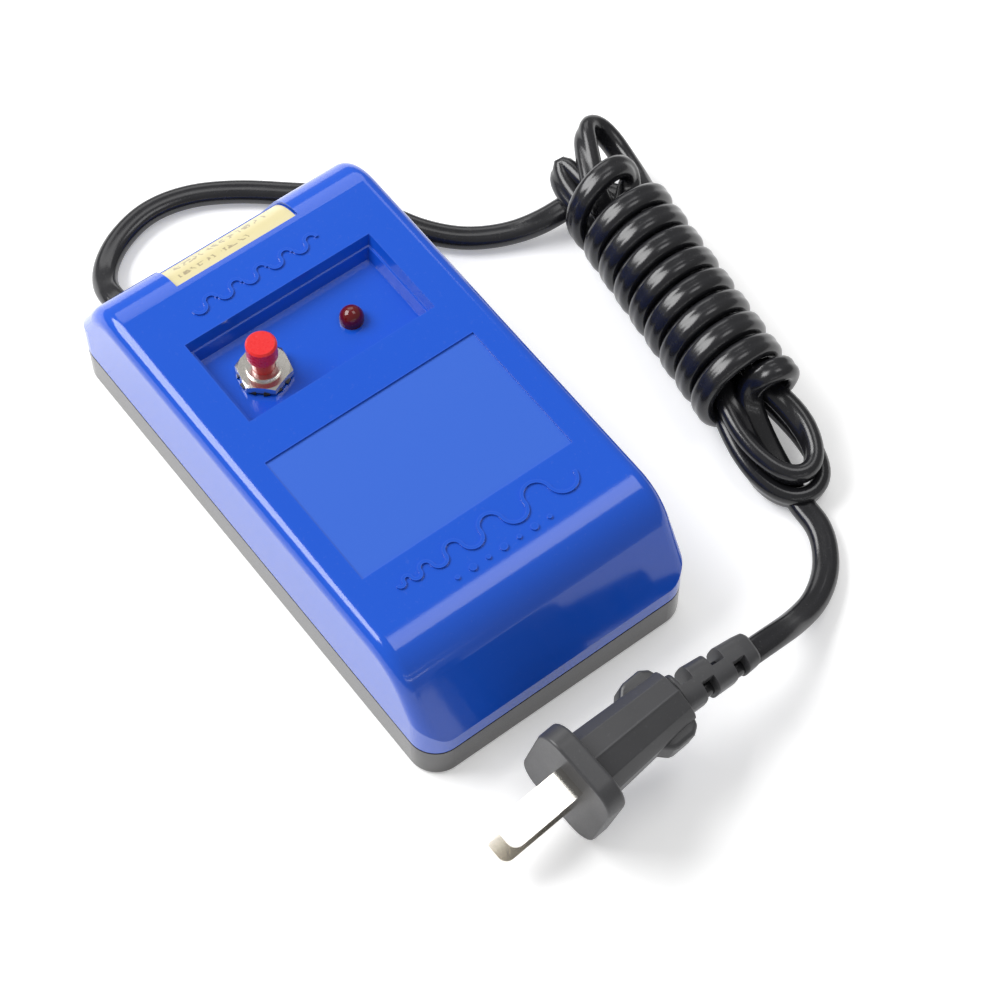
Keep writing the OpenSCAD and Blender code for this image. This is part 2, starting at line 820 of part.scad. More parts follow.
// side outlines of the moulded plug body, half widths listed from flange to cord
module plug_outline(halves) {
    n = len(halves);
    step = plug_body_l / (n - 1);
    polygon(concat([for (i = [0 : n - 1]) [-plug_flange_t - i * step, halves[i]]],
        [for (i = [n - 1 : -1 : 0]) [-plug_flange_t - i * step, -halves[i]]]));
}

module plug_body() {
    color("dimgray") at_plug() difference() {
        union() {
            rotate([0, -90, 0]) linear_extrude(height = plug_flange_t) {
                rounded_plate(plug_flange_l, plug_flange_w, 5);
            }
            intersection() {
                translate([0, 0, -15]) linear_extrude(height = 30) plug_outline([6.4, 6.3, 6.1, 5.8, 5.7, 7, 7.1, 4.7]);
                translate([0, 15, 0]) rotate([90, 0, 0]) linear_extrude(height = 30) {
                    plug_outline([9.6, 9.4, 9, 8.2, 7.2, 6.4, 6, 4.6]);
                }
            }
        }
        for (s = [-1, 1]) {
            translate([-plug_flange_t - 8, -blade_w / 2, s * blade_gap / 2 - blade_t / 2]) {
                cube([plug_flange_t + 9, blade_w, blade_t]);
            }
        }
    }
}

module plug_relief() {
    start = -plug_flange_t - plug_body_l;
    color("dimgray") at_plug() difference() {
        translate([start, 0, 0]) rotate([0, -relief_drop, -relief_turn]) difference() {
            translate([1, 0, 0]) rotate([0, -90, 0]) cylinder(h = relief_l + 1, r1 = 4.4, r2 = 3.6);
            for (x = [2.2, 10.4]) {
                translate([-x - slot_l, -6, -6]) cube([slot_l, 5.7, 12]);
                translate([-x - 3 - slot_l, 0.3, -6]) cube([slot_l, 5.7, 12]);
            }
        }
        translate([start, -8, -8]) cube([8, 16, 16]);
    }
}

module plug_blades() {
    color("silver") at_plug() for (s = [-1, 1]) {
        translate([-plug_flange_t - 8, 0, s * blade_gap / 2 - blade_t / 2]) difference() {
            linear_extrude(height = blade_t) union() {
                translate([0, -blade_w / 2]) square([blade_l + plug_flange_t + 8 - 2, blade_w]);
                translate([blade_l + plug_flange_t + 8 - 2, -blade_w / 2 + 2]) square([2, blade_w - 4]);
                for (t = [-1, 1]) {
                    translate([blade_l + plug_flange_t + 8 - 2, t * (blade_w / 2 - 2)]) circle(r = 2);
                }
            }
        }
    }
}

top_shell();
bottom_shell();
case_screws();
rear_label();
switch_cap();
switch_bushing();
switch_nut();
switch_lock_washer();
switch_body();
switch_bridge();
switch_spring();
switch_terminals();
led_lens();
led_legs();
led_resistor();
led_diode();
coil_bobbin();
coil_winding();
coil_tape();
core_stack();
core_brackets();
core_screws();
cord_grommet();
cord_clamp();
clamp_screws();
wire_live();
wire_neutral();
wire_coil();
wire_lamp();
wire_sleeves();
cord_lead();
cord_hank();
cord_tail();
plug_body();
plug_relief();
plug_blades();
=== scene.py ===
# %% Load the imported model
import math

import bmesh
import bpy
import numpy as np
from mathutils import Euler, Matrix, Vector


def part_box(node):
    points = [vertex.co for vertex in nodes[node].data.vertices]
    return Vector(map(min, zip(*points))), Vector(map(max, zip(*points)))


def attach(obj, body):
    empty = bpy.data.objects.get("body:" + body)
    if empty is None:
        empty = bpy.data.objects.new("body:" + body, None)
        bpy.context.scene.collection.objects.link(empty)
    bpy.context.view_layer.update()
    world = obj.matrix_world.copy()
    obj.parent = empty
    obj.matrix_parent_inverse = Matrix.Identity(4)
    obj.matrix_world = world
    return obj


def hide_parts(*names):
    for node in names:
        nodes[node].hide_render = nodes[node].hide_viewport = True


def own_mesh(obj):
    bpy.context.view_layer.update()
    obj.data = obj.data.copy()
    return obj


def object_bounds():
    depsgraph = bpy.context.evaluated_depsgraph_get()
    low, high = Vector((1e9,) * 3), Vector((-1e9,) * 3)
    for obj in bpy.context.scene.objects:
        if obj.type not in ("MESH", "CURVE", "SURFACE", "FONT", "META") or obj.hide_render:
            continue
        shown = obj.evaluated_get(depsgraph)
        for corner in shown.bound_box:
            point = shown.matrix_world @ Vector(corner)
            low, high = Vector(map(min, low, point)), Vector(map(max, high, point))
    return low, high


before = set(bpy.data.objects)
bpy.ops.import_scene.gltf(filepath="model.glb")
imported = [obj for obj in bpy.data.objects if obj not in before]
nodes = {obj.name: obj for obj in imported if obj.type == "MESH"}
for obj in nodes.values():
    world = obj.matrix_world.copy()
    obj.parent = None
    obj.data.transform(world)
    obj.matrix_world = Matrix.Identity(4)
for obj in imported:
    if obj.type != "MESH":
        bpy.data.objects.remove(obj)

MM = 0.001
cad_box = [list(corner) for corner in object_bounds()]
print("CAD nodes:", len(nodes), "box:", [[round(v, 4) for v in c] for c in cad_box])

# %% [markdown]
# Camera.  A long lens of about 100 mm looks down at the tool from its nose end and
# its left, from half a metre away.  The view is kept as an eye point and three
# angles; the camera's matrix is then built from its own right, up and back axes,
# which is exact and needs no constraint that has to be evaluated first.

# %% Camera
EYE = Vector((-0.15914, -0.24658, 0.49033))
TURN, RISE, ROLL = math.radians(-37.67), math.radians(59.59), math.radians(0.44)
LENS, SENSOR, NEAR_CLIP = 101.78, 36.0, 0.01


def aim_camera():
    back = Vector((math.sin(TURN) * math.cos(RISE), -math.cos(TURN) * math.cos(RISE),
                   math.sin(RISE)))
    level = Vector((math.cos(TURN), math.sin(TURN), 0))
    steep = back.cross(level)
    right = math.cos(ROLL) * level + math.sin(ROLL) * steep
    up = math.cos(ROLL) * steep - math.sin(ROLL) * level
    data = bpy.data.cameras.new("view")
    data.lens, data.sensor_width, data.clip_start = LENS, SENSOR, NEAR_CLIP
    camera = bpy.data.objects.new("view", data)
    bpy.context.scene.collection.objects.link(camera)
    axes = Matrix((right, up, back)).transposed().to_4x4()
    camera.matrix_world = Matrix.Translation(EYE) @ axes
    bpy.context.scene.camera = camera
    return camera


aim_camera()

# %% [markdown]
# The mains cord is one flat twin lead, 5.4 by 3.6 mm.  It leaves the rear gland, curves
# over the bench, is folded up and down, wrapped round the folds, and its last turn is
# tucked in and comes out through the end loops to the plug.  A curve with a
# round bevel can't show the twin section or lie flat, so the cord is a swept mesh: every
# route point carries its place and the direction of its wide side, a spline is laid
# through both, and the section is placed on rings along it.

# %% Cord route on the bench, in millimetres
CORD_W, CORD_T = 5.4, 3.6
lead_route = [
    (-20, 58, 7.2), (-20, 62, 7.2), (-20, 66, 6.4), (-19, 70, 4.4), (-16, 75, 2.6), (-10, 79.5, 2),
    (-1, 82, 2), (8, 80.5, 2), (17, 75.5, 2), (26, 68, 2), (34, 60.5, 2), (39, 51, 2),
    (43, 43, 2), (49, 36, 2), (57, 31, 2.6)]
tail_route = [
    (63.2, -61, 2.1), (61.4, -66, 2.2), (57, -71.6, 2.4), (50.6, -75.6, 3.4), (44, -77.6, 6),
    (38, -79, 9.6), (33, -79.5, 11.2), (28, -79.8, 12), (22, -79.9, 12.7), (16, -79.8, 13.3)]

# %% Folds inside the hank: across, along, height, and the direction of the wide side
FLAT, EDGE, LONG = (1, 0, 0), (0, 0, 1), (0, 1, 0)
folds = [
    (-12.1, 34.5, 4.2, (0, 1, 0.2)), (-6, 34.8, 5, (0.2, 1, 0.2)), (0.4, 34.8, 5.4, (0.5, 0.9, 0)),
    (4.2, 32, 5.8, (0.9, 0.4, 0)), (4.7, 27.4, 6.2, FLAT), (3.4, 20, 6.8, FLAT), (2.9, 10, 7, FLAT),
    (2.9, 0, 7, FLAT), (2.9, -12, 7, FLAT),
    # first loop at the plug end
    (3.6, -22, 7, FLAT), (5.6, -29, 6, (1, 0, 0.3)), (7, -36, 4.8, (0.6, 0, 0.9)),
    (7.2, -42, 3.7, (0.25, 0.1, 1)), (5.6, -47.2, 3.3, (0.1, -0.2, 1)), (2, -49.4, 3.2, (0, -0.2, 1)),
    (-2.4, -48.4, 3.2, (-0.1, -0.2, 1)), (-5.5, -43.6, 3.7, (-0.2, 0, 1)), (-6.3, -37, 4.8, (-0.6, 0, 0.9)),
    (-5.2, -29, 6, (-1, 0, 0.3)), (-3.4, -20, 7, FLAT),
    (-2.9, -10, 7, FLAT), (-2.9, 0, 7, FLAT), (-2.9, 10, 7, FLAT),
    # small side loop at the case end
    (-3.2, 19, 7.2, FLAT), (-4.4, 27, 7.4, (0.7, 0, 0.7)), (-5.3, 34, 7.8, (0.7, 0, 0.7)),
    (-5.2, 39.5, 8.2, (0.6, 0, 0.8)),
    (-3.9, 42.6, 8.7, EDGE), (-2.1, 41.6, 9.2, (-0.6, 0, 0.8)), (-1.5, 37, 9.4, (-0.7, 0, 0.7)),
    (0.2, 29.6, 9.4, (-0.7, 0, 0.7)),
    (2.4, 21, 9.8, FLAT), (2.8, 10, 10.8, FLAT), (2.9, 0, 11, FLAT), (2.9, -12, 11, FLAT),
    # second loop at the plug end, on top of the first
    (3.4, -22, 11, FLAT), (4.8, -28.5, 10.6, FLAT), (6.2, -34.5, 9.8, (1, 0, 0.4)),
    (6.4, -40, 8.6, (0.5, 0.1, 0.9)),
    (5, -44.8, 7.7, (0.1, -0.2, 1)), (1.8, -46.9, 7.5, (0, -0.2, 1)), (-1.8, -45.4, 7.6, (-0.1, -0.2, 1)),
    (-4.2, -40.6, 8.2, (-0.4, 0, 1)), (-5, -34, 9.3, (-0.8, 0, 0.5)),
    (-4.2, -26, 10.6, FLAT), (-2.9, -14, 11, FLAT),
    (-2.9, 0, 11, FLAT), (-2.9, 12, 11, FLAT), (-3, 22, 11.4, FLAT),
    # tall loop at the case end
    (-2, 30, 12, (1, 0, 0.2)), (0.2, 36.5, 12.4, (1, 0, 0.3)), (2.3, 42, 12.6, (0.8, 0, 0.6)),
    (4.6, 46.2, 12.4, (0.5, 0.3, 0.9)), (7.8, 46.8, 10.2, (0.5, 0.3, 0.9)), (9.5, 43.2, 8, (0.7, 0, 0.7)),
    (9.6, 38, 7.3, (0.8, 0, 0.6)), (9.1, 32, 7.9, (0.8, 0, 0.6)), (7.5, 25.4, 10.4, (0.8, 0, 0.6)),
    (5.2, 18, 12.6, (0.8, 0, 0.5)), (3.2, 8, 14.6, FLAT), (2.9, -4, 15, FLAT), (2.7, -14, 15, FLAT),
    # short fold that stays inside the wraps
    (1.8, -20.6, 15, FLAT), (0, -23, 15, FLAT), (-1.8, -20.6, 15, FLAT), (-2.8, -14, 15, FLAT),
    (-2.9, -4, 15, FLAT), (-2.6, 8, 15, FLAT), (-1.6, 17, 14.8, FLAT), (0.6, 23, 14.2, FLAT),
    # out of the core and over the top: the first, slanting turn
    (3.4, 26, 13.6, (1, 0.3, 0)), (5.2, 28.4, 14.3, (0.8, 0.6, 0)), (5.2, 29.9, 16.8, (0.6, 0.9, -0.1)),
    (3, 29.9, 19, (0.1, 1, 0)), (-0.8, 29, 19.9, LONG), (-5, 27.9, 18.6, LONG), (-7.9, 27, 15.6, LONG),
    (-9.2, 26.2, 11.4, LONG), (-8.4, 25.2, 7, LONG), (-5.4, 24.2, 3.6, LONG), (-1, 23.3, 1.95, LONG),
    (4, 22.7, 2.8, LONG), (7.6, 22.1, 6, LONG)]
tuck = [
    (9, -27.6, 14.6, LONG), (7.4, -28.2, 17.2, LONG), (4.4, -28.2, 18, (-0.1, 1, 0)),
    (1.4, -27.4, 16.4, (-0.4, 0.9, 0)), (-0.2, -27.2, 13, (-0.8, 0.5, 0)), (-0.7, -29.6, 9.4, (-1, 0.2, 0)),
    (-0.8, -34, 6.4, (-1, 0, 0)), (-0.8, -39.4, 4, (-1, 0, 0)), (-0.7, -46, 2.1, (-1, 0, 0)),
    (-0.9, -52, 2, (-1, 0, 0))]
print("fold points:", len(folds), "tuck points:", len(tuck))

# %% [markdown]
# The wraps.  A plain helix loses the same height everywhere.  A cord wound by hand
# slants over the top and runs nearly square underneath, so a sine is added to the
# pitch: each turn moves on by most of its width over the visible half.

# %% Eight slanting turns round the folds
WRAP_R, WRAP_Z, WRAP_PITCH, WRAP_FRONT = 9.3, 11.1, 6.1, 5.0
WRAP_TURNS, WRAP_START, WRAP_FROM = 8, 21.5, 16.2
WRAP_STEP = 15


def wraps():
    slant = 2 * WRAP_FRONT / WRAP_PITCH - 1
    points = []
    for i in range(WRAP_TURNS * 360 // WRAP_STEP - 1):
        turned = math.radians(i * WRAP_STEP)
        gone = (turned + slant * math.sin(turned)) / (2 * math.pi)
        a = turned + math.radians(WRAP_FROM)
        points.append((WRAP_R * math.cos(a), WRAP_START - WRAP_PITCH * gone,
                       WRAP_Z + WRAP_R * math.sin(a), LONG))
    return points


# %% From the hank's own axes to the bench, and the wide side along a flat run
HANK_AT, HANK_TURN = (71.2, -7.5), math.radians(-8)
turn_hank = Matrix.Rotation(HANK_TURN, 3, "Z")


def from_hank(row):
    place = turn_hank @ Vector(row[:3]) + Vector((*HANK_AT, 0))
    return place, (turn_hank @ Vector(row[3])).normalized()


def lying_flat(route):
    rows = []
    for i, p in enumerate(route):
        ahead = Vector(route[min(i + 1, len(route) - 1)]) - Vector(route[max(i - 1, 0)])
        rows.append((Vector(p), Vector((0, 0, 1)).cross(ahead).normalized()))
    return rows


def cord_rows():
    wound = [from_hank(r) for r in folds + wraps() + tuck]
    rows = lying_flat(lead_route) + wound + lying_flat(tail_route)
    kept = [rows[0]]
    for place, wide in rows[1:]:
        kept.append((place, -wide if wide.dot(kept[-1][1]) < 0 else wide))
    return np.array([[*place, *wide] for place, wide in kept])


# %% [markdown]
# A centripetal spline passes through every point and makes no loops where points lie
# close, which suits tight folds.  The result is spaced evenly and smoothed a little.
# Strands still cross where the hank is tight; a spline knows nothing of its neighbours.

# %% Spline through the rows
RING_STEP, SMOOTHINGS, NO_GAP = 1.0, 6, 1e-6


def evenly(rows, step):
    run = np.concatenate([[0], np.cumsum(np.linalg.norm(np.diff(rows[:, :3], axis=0), axis=1))])
    at = np.linspace(0, run[-1], int(run[-1] / step) + 1)
    return np.column_stack([np.interp(at, run, rows[:, k]) for k in range(rows.shape[1])])


def spline(rows, step=RING_STEP):
    ends = np.vstack([2 * rows[0] - rows[1], rows, 2 * rows[-1] - rows[-2]])
    out = []
    for i in range(1, len(rows)):
        p = ends[i - 1:i + 3]
        gaps = [max(np.linalg.norm((p[k + 1] - p[k])[:3]), NO_GAP) ** 0.5 for k in range(3)]
        t = np.concatenate([[0], np.cumsum(gaps)])
        count = max(2, math.ceil(np.linalg.norm((p[2] - p[1])[:3]) / step * 2))
        for s in np.linspace(t[1], t[2], count, endpoint=False):
            a = [((t[k + 1] - s) * p[k] + (s - t[k]) * p[k + 1]) / (t[k + 1] - t[k])
                 for k in range(3)]
            b = [((t[k + 2] - s) * a[k] + (s - t[k]) * a[k + 1]) / (t[k + 2] - t[k])
                 for k in range(2)]
            out.append(((t[2] - s) * b[0] + (s - t[1]) * b[1]) / (t[2] - t[1]))
    out = evenly(np.array(out + [rows[-1]]), step)
    for _ in range(SMOOTHINGS):
        out[1:-1] = 0.25 * out[:-2] + 0.5 * out[1:-1] + 0.25 * out[2:]
    return evenly(out, step)


cord_line = spline(cord_rows())

# %% [markdown]
# The section is two round cores side by side under one sheath, so it is the outline
# of two overlapping circles, with a shallow groove down the middle of both faces.

# %% Sweep the twin section
SECTION_SIDES, GROOVE = 24, 0.1


def twin_section(width, thick, sides):
    r = thick / 2
    shift = width / 2 - r
    points = []
    for i in range(sides):
        x, y = math.cos(2 * math.pi * i / sides), math.sin(2 * math.pi * i / sides)
        near = abs(x) * shift
        reach = near + math.sqrt(near * near - shift * shift + r * r)
        across, up = reach * x, reach * y
        if abs(across) < shift:
            up = math.copysign(r - GROOVE * (1 - abs(across) / shift), up)
        points.append((across, up))
    return points


def new_mesh(name, points, faces):
    mesh = bpy.data.meshes.new(name)
    mesh.from_pydata([tuple(p) for p in points], [], faces)
    mesh.validate()
    mesh.polygons.foreach_set("use_smooth", [True] * len(mesh.polygons))
    obj = bpy.data.objects.new(name, mesh)
    bpy.context.scene.collection.objects.link(obj)
    return obj


def tube_faces(rings, sides):
    faces = [[i * sides + j, i * sides + (j + 1) % sides,
              (i + 1) * sides + (j + 1) % sides, (i + 1) * sides + j]
             for i in range(rings - 1) for j in range(sides)]
    return faces + [list(range(sides))[::-1], list(range((rings - 1) * sides, rings * sides))]


def sweep_cord():
    centre = cord_line[:, :3]
    ahead = np.gradient(centre, axis=0)
    ahead /= np.linalg.norm(ahead, axis=1)[:, None]
    wide = cord_line[:, 3:]
    wide = wide - ahead * np.sum(wide * ahead, axis=1)[:, None]
    wide /= np.linalg.norm(wide, axis=1)[:, None]
    high = np.cross(ahead, wide)
    section = twin_section(CORD_W, CORD_T, SECTION_SIDES)
    points = [(c + a * w + b * h) * MM for c, w, h in zip(centre, wide, high) for a, b in section]
    return new_mesh("mains_cord", points, tube_faces(len(centre), SECTION_SIDES))


mains_cord = sweep_cord()
low = min(v.co.z for v in mains_cord.data.vertices)
print("cord vertices:", len(mains_cord.data.vertices), "lowest point, mm:", round(low / MM, 2))

# %% [markdown]
# The plug is moulded round the cord: an oval flange behind the blades, a body with a
# roof-like top and a parting line, and two finger grips at its cord end.  Each is a loft,
# which is a row of outlines of equal point count joined by faces.  Outlines are drawn in
# the plug's own axes, with X towards the blades, and one matrix puts them in place.

# %% The plug's place
PLUG_AT = Vector((-16.4, -81.8, 14.6)) * MM
PLUG_TURN = Euler([math.radians(a) for a in (-13.2, 0.9, 184.8)], "XYZ")
plug_place = Matrix.Translation(PLUG_AT) @ PLUG_TURN.to_matrix().to_4x4()


def loft(outlines):
    """Points and faces of a closed form through outlines, each a list of (x, y, z)."""
    sides = len(outlines[0])
    return [p for line in outlines for p in line], tube_faces(len(outlines), sides)


def rounded_box_outline(x, half_y, half_z, radius, per_corner=6):
    line = []
    for k, (sy, sz) in enumerate([(1, 1), (-1, 1), (-1, -1), (1, -1)]):
        for i in range(per_corner + 1):
            a = math.radians(90 * k + 90 * i / per_corner)
            line.append((x, sy * (half_y - radius) + radius * math.cos(a),
                         sz * (half_z - radius) + radius * math.sin(a)))
    return line


def soft_edges(obj, width, angle):
    """Rounds a new piece's edges, and keeps its flat faces looking flat."""
    bevel = obj.modifiers.new("soft edges", "BEVEL")
    bevel.width, bevel.segments = width * MM, 2
    bevel.limit_method, bevel.angle_limit = "ANGLE", math.radians(angle)
    obj.modifiers.new("even shading", "WEIGHTED_NORMAL")


def add_form(points, faces, more):
    base = len(points)
    points += more[0]
    faces += [[base + k for k in face] for face in more[1]]


# %% Flange, body and finger grips
def roofed_outline(x, half_y, half_z, side):
    """Ten-sided section with a low ridge top and bottom."""
    top = [(0.3, half_z - 0.05), (0.66 * half_y, half_z - 1), (half_y - 0.5, side + 0.7), (half_y, side)]
    right = [(0, half_z + 0.16)] + top + [(y, -z) for y, z in reversed(top)]
    left = [(-y, z) for y, z in reversed(right[1:])]
    return [(x, y, z) for y, z in right + [(0, -half_z - 0.16)] + left]


def build_plug():
    points, faces = [], []
    rim = [(0, 0.35), (-0.2, 0.1), (-0.6, 0), (-3.6, 0), (-4.1, 0.15), (-4.4, 0.6)]
    flange = [rounded_box_outline(x, 9.9 - cut, 13.4 - cut, 5.2 - cut) for x, cut in rim]
    add_form(points, faces, loft(flange))
    stations = [(-4, 6.8, 9.7, 6.2), (-10, 6.5, 9, 5.6), (-16, 6.2, 8.2, 4.8),
                (-22, 5.9, 7.1, 4), (-27.3, 5.7, 6.1, 3.4), (-27.6, 5.3, 5.7, 3.1)]
    add_form(points, faces, loft([roofed_outline(*s) for s in stations]))
    grips = [(-17.4, 5.2, 3.4), (-20, 7.7, 3.7), (-21, 8, 3.8),
             (-25, 8, 3.7), (-26.6, 7, 3.4), (-27.3, 5.6, 3)]
    add_form(points, faces, loft([rounded_box_outline(x, y, z, 0.9, 2) for x, y, z in grips]))
    placed = [plug_place @ (Vector(p) * MM) for p in points]
    plug = new_mesh("plug_moulding", placed, faces)
    soft_edges(plug, 0.3, 18)
    return plug


plug_moulding = build_plug()
print("plug size, mm:", [round(v / MM, 1) for v in plug_moulding.dimensions])

# %% [markdown]
# The three flat cord solids, the moulding and its strain relief only stand in for soft
# or rounded forms, so each new piece replaces the solids it was made for.  The relief is
# a tapered sleeve with four windows, two on each side, which let it bend.  Where a window
# is, the ring is pulled in to its far half, so that the opening is real geometry.

# %% Strain relief behind the plug
RELIEF_LONG, RELIEF_SIDES = 19, 32
RELIEF_R0, RELIEF_R1, RELIEF_SQUARE = 4.3, 3.6, 3.4
WINDOW_LIP, WINDOW_DEPTH, WINDOW_HIGH = 0.12, 0.9, 0.4
relief_place = plug_place @ Matrix.Translation(Vector((-27.3, 0, 0)) * MM) @ Euler(
    (0, math.radians(-5), math.radians(-6)), "XYZ").to_matrix().to_4x4()


def relief_ring(x, r):
    """A ring of the sleeve: a square with well rounded corners."""
    ring = []
    for i in range(RELIEF_SIDES):
        a = 2 * math.pi * i / RELIEF_SIDES
        c, s = math.cos(a), math.sin(a)
        reach = r / (abs(c) ** RELIEF_SQUARE + abs(s) ** RELIEF_SQUARE) ** (1 / RELIEF_SQUARE)
        ring.append((-x, reach * c, reach * s))
    return ring


def build_relief():
    windows = [(1.2, 4.3, -1), (5.0, 8.1, 1), (8.9, 12.0, -1), (12.7, 15.8, 1)]
    rims = {w for a, b, _ in windows for w in (a, a + WINDOW_LIP, b - WINDOW_LIP, b)}
    steps = sorted({0.0, 0.6, 16.5, 18.4, 19.0} | rims)
    rings = []
    for x in steps:
        r = RELIEF_R0 + (RELIEF_R1 - RELIEF_R0) * x / RELIEF_LONG
        r -= {0.0: 0.5, 18.4: 0.15, 19.0: 0.7}.get(x, 0)
        ring = relief_ring(x, r)
        for a, b, way in windows:
            if a < x < b:
                ring = [(px, way * min(py * way, WINDOW_DEPTH),
                         pz * (WINDOW_HIGH if py * way > WINDOW_DEPTH else 1)) for px, py, pz in ring]
        rings.append(ring)
    points, faces = loft(rings)
    relief = new_mesh("plug_sleeve", [relief_place @ (Vector(p) * MM) for p in points], faces)
    soft_edges(relief, 0.15, 35)
    return relief


plug_sleeve = build_relief()
print("sleeve size, mm:", [round(v / MM, 1) for v in plug_sleeve.dimensions])

# %% [markdown]
# The switch's return spring is a wound wire.  A rigid solid can't follow the button down,
# so the spring is swept again along a helix.

# %% Return spring
SPRING_TURNS, SPRING_PER_TURN, SPRING_WIRE, SPRING_SIDES = 5, 24, 0.2, 10


def build_spring():
    lo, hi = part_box("switch_spring")
    middle, radius = (lo + hi) / 2, (hi.x - lo.x) / 2 - SPRING_WIRE * MM
    rise = hi.z - lo.z - 2 * SPRING_WIRE * MM
    points = []
    count = SPRING_TURNS * SPRING_PER_TURN + 1
    for i in range(count):
        a = 2 * math.pi * i / SPRING_PER_TURN
        out = Vector((math.cos(a), math.sin(a), 0))
        height = lo.z + SPRING_WIRE * MM + rise * i / (count - 1)
        at = Vector((middle.x, middle.y, height)) + out * radius
        for j in range(SPRING_SIDES):
            b = 2 * math.pi * j / SPRING_SIDES
            points.append(at + (out * math.cos(b) + Vector((0, 0, math.sin(b)))) * SPRING_WIRE * MM)
    return new_mesh("return_spring", points, tube_faces(count, SPRING_SIDES)), lo, hi


return_spring, spring_low, spring_high = build_spring()
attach(return_spring, "housing")
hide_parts("switch_spring")
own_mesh(return_spring)

# %% What each new piece stands for
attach(mains_cord, "housing")
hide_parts("cord_lead", "cord_hank", "cord_tail")
for piece, node in ((plug_moulding, "plug_body"), (plug_sleeve, "plug_relief")):
    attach(piece, "housing")
    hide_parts(node)

# %% [markdown]
# Moulded, turned and pressed parts have no knife edges.  A carried-over solid comes as
# triangles, so flat triangles are first joined into whole faces, then every edge that
# turns by more than a set angle gets a small rounding, which is what catches the light.
# The cover has small raised marks that would hold its rounding back, so its edges are
# weighed one by one, and the marks are left out.

# %% Soft edges on the carried-over solids
rounding = {
    "top_shell": 0.35, "bottom_shell": 0.45, "switch_nut": 0.22, "switch_bushing": 0.15,
    "switch_cap": 0.4, "switch_lock_washer": 0.08, "plug_blades": 0.25, "led_lens": 0.15,
    "case_screws": 0.15, "cord_grommet": 0.3, "rear_label": 0.02, "core_stack": 0.05,
    "core_brackets": 0.15, "coil_bobbin": 0.15, "switch_body": 0.2, "cord_clamp": 0.25,
    "coil_tape": 0.05, "switch_terminals": 0.08, "clamp_screws": 0.12, "core_screws": 0.12}
SOFT_ANGLE, SMOOTH_ANGLE, FLAT_ANGLE = math.radians(28), math.radians(35), math.radians(0.6)
TOP_OF_MARKS, MARK_ROWS = 0.0309, ((-0.046, -0.032), (0.034, 0.040))


def weigh_edges(obj):
    """Marks the edges to round, and leaves the small raised marks crisp."""
    form = bmesh.new()
    form.from_mesh(obj.data)
    weights = [0.0] * len(form.edges)
    for edge in form.edges:
        if len(edge.link_faces) != 2 or edge.calc_face_angle(0) < SOFT_ANGLE:
            continue
        spots = [v.co for v in edge.verts]
        on_mark = all(s.z > TOP_OF_MARKS and any(a < s.y < b for a, b in MARK_ROWS) for s in spots)
        weights[edge.index] = 0.0 if on_mark else 1.0
    form.free()
    layer = obj.data.attributes.new("bevel_weight_edge", "FLOAT", "EDGE")
    layer.data.foreach_set("value", weights)


def soften(name, obj):
    obj.data.polygons.foreach_set("use_smooth", [True] * len(obj.data.polygons))
    if name not in rounding:
        obj.data.set_sharp_from_angle(angle=SMOOTH_ANGLE)
        return
    if name != "top_shell":
        join = obj.modifiers.new("join flat faces", "DECIMATE")
        join.decimate_type, join.angle_limit = "DISSOLVE", FLAT_ANGLE
    bevel = obj.modifiers.new("soft edges", "BEVEL")
    bevel.width, bevel.segments = rounding[name] * MM, 3
    bevel.limit_method, bevel.angle_limit = "ANGLE", SOFT_ANGLE
    bevel.harden_normals = True
    bevel.use_clamp_overlap = name != "top_shell"
    if name == "top_shell":
        weigh_edges(obj)
        bevel.limit_method = "WEIGHT"


for name, obj in nodes.items():
    soften(name, obj)
print("softened:", len(rounding), "of", len(nodes))

# %% [markdown]
# Materials.  Plastic, paint and metal here share a few effects: a slow drift of colour,
# a fine grain in the gloss, a lighter colour on sharp edges that is partly wear and partly
# a painted highlight, and dust that settles on top.  Each is one node group with its own
# inputs, so it is tuned per material and built once.

# %% A helper for node groups
def start_group(name, inputs, outputs):
    group = bpy.data.node_groups.new(name, "ShaderNodeTree")
    for label, kind, value in inputs:
        group.interface.new_socket(label, in_out="INPUT", socket_type=kind).default_value = value
    for label, kind in outputs:
        group.interface.new_socket(label, in_out="OUTPUT", socket_type=kind)
    return group, group.nodes.new("NodeGroupInput"), group.nodes.new("NodeGroupOutput")


def add(tree, kind, settings=None, **values):
    node = tree.nodes.new(kind)
    for key, value in (settings or {}).items():
        setattr(node, key, value)
    for key, value in values.items():
        node.inputs[key.replace("_", " ")].default_value = value
    return node


def maths(tree, operation, a, b, clamp=False):
    node = add(tree, "ShaderNodeMath", {"operation": operation, "use_clamp": clamp})
    for socket, value in zip(node.inputs, (a, b)):
        if isinstance(value, (int, float)):
            socket.default_value = value
        else:
            tree.links.new(value, socket)
    return node.outputs[0]


FLOAT, COLOUR, VECTOR = "NodeSocketFloat", "NodeSocketColor", "NodeSocketVector"

# %% Colour drift: pigment and moulding are never perfectly even
drift, enter, leave = start_group(
    "colour drift", [("Colour", COLOUR, (0.5, 0.5, 0.5, 1)), ("Amount", FLOAT, 0.05), ("Scale", FLOAT, 60)],
    [("Colour", COLOUR)])
place = add(drift, "ShaderNodeTexCoord")
cloud = add(drift, "ShaderNodeTexNoise", Detail=3.0)
shade = add(drift, "ShaderNodeHueSaturation")
drift.links.new(place.outputs["Object"], cloud.inputs["Vector"])
drift.links.new(enter.outputs["Scale"], cloud.inputs["Scale"])
off_middle = maths(drift, "SUBTRACT", cloud.outputs["Fac"], 0.5)
swing = maths(drift, "MULTIPLY", off_middle, enter.outputs["Amount"])
drift.links.new(maths(drift, "ADD", maths(drift, "MULTIPLY", swing, 4), 1), shade.inputs["Value"])
drift.links.new(enter.outputs["Colour"], shade.inputs["Color"])
drift.links.new(shade.outputs["Color"], leave.inputs["Colour"])
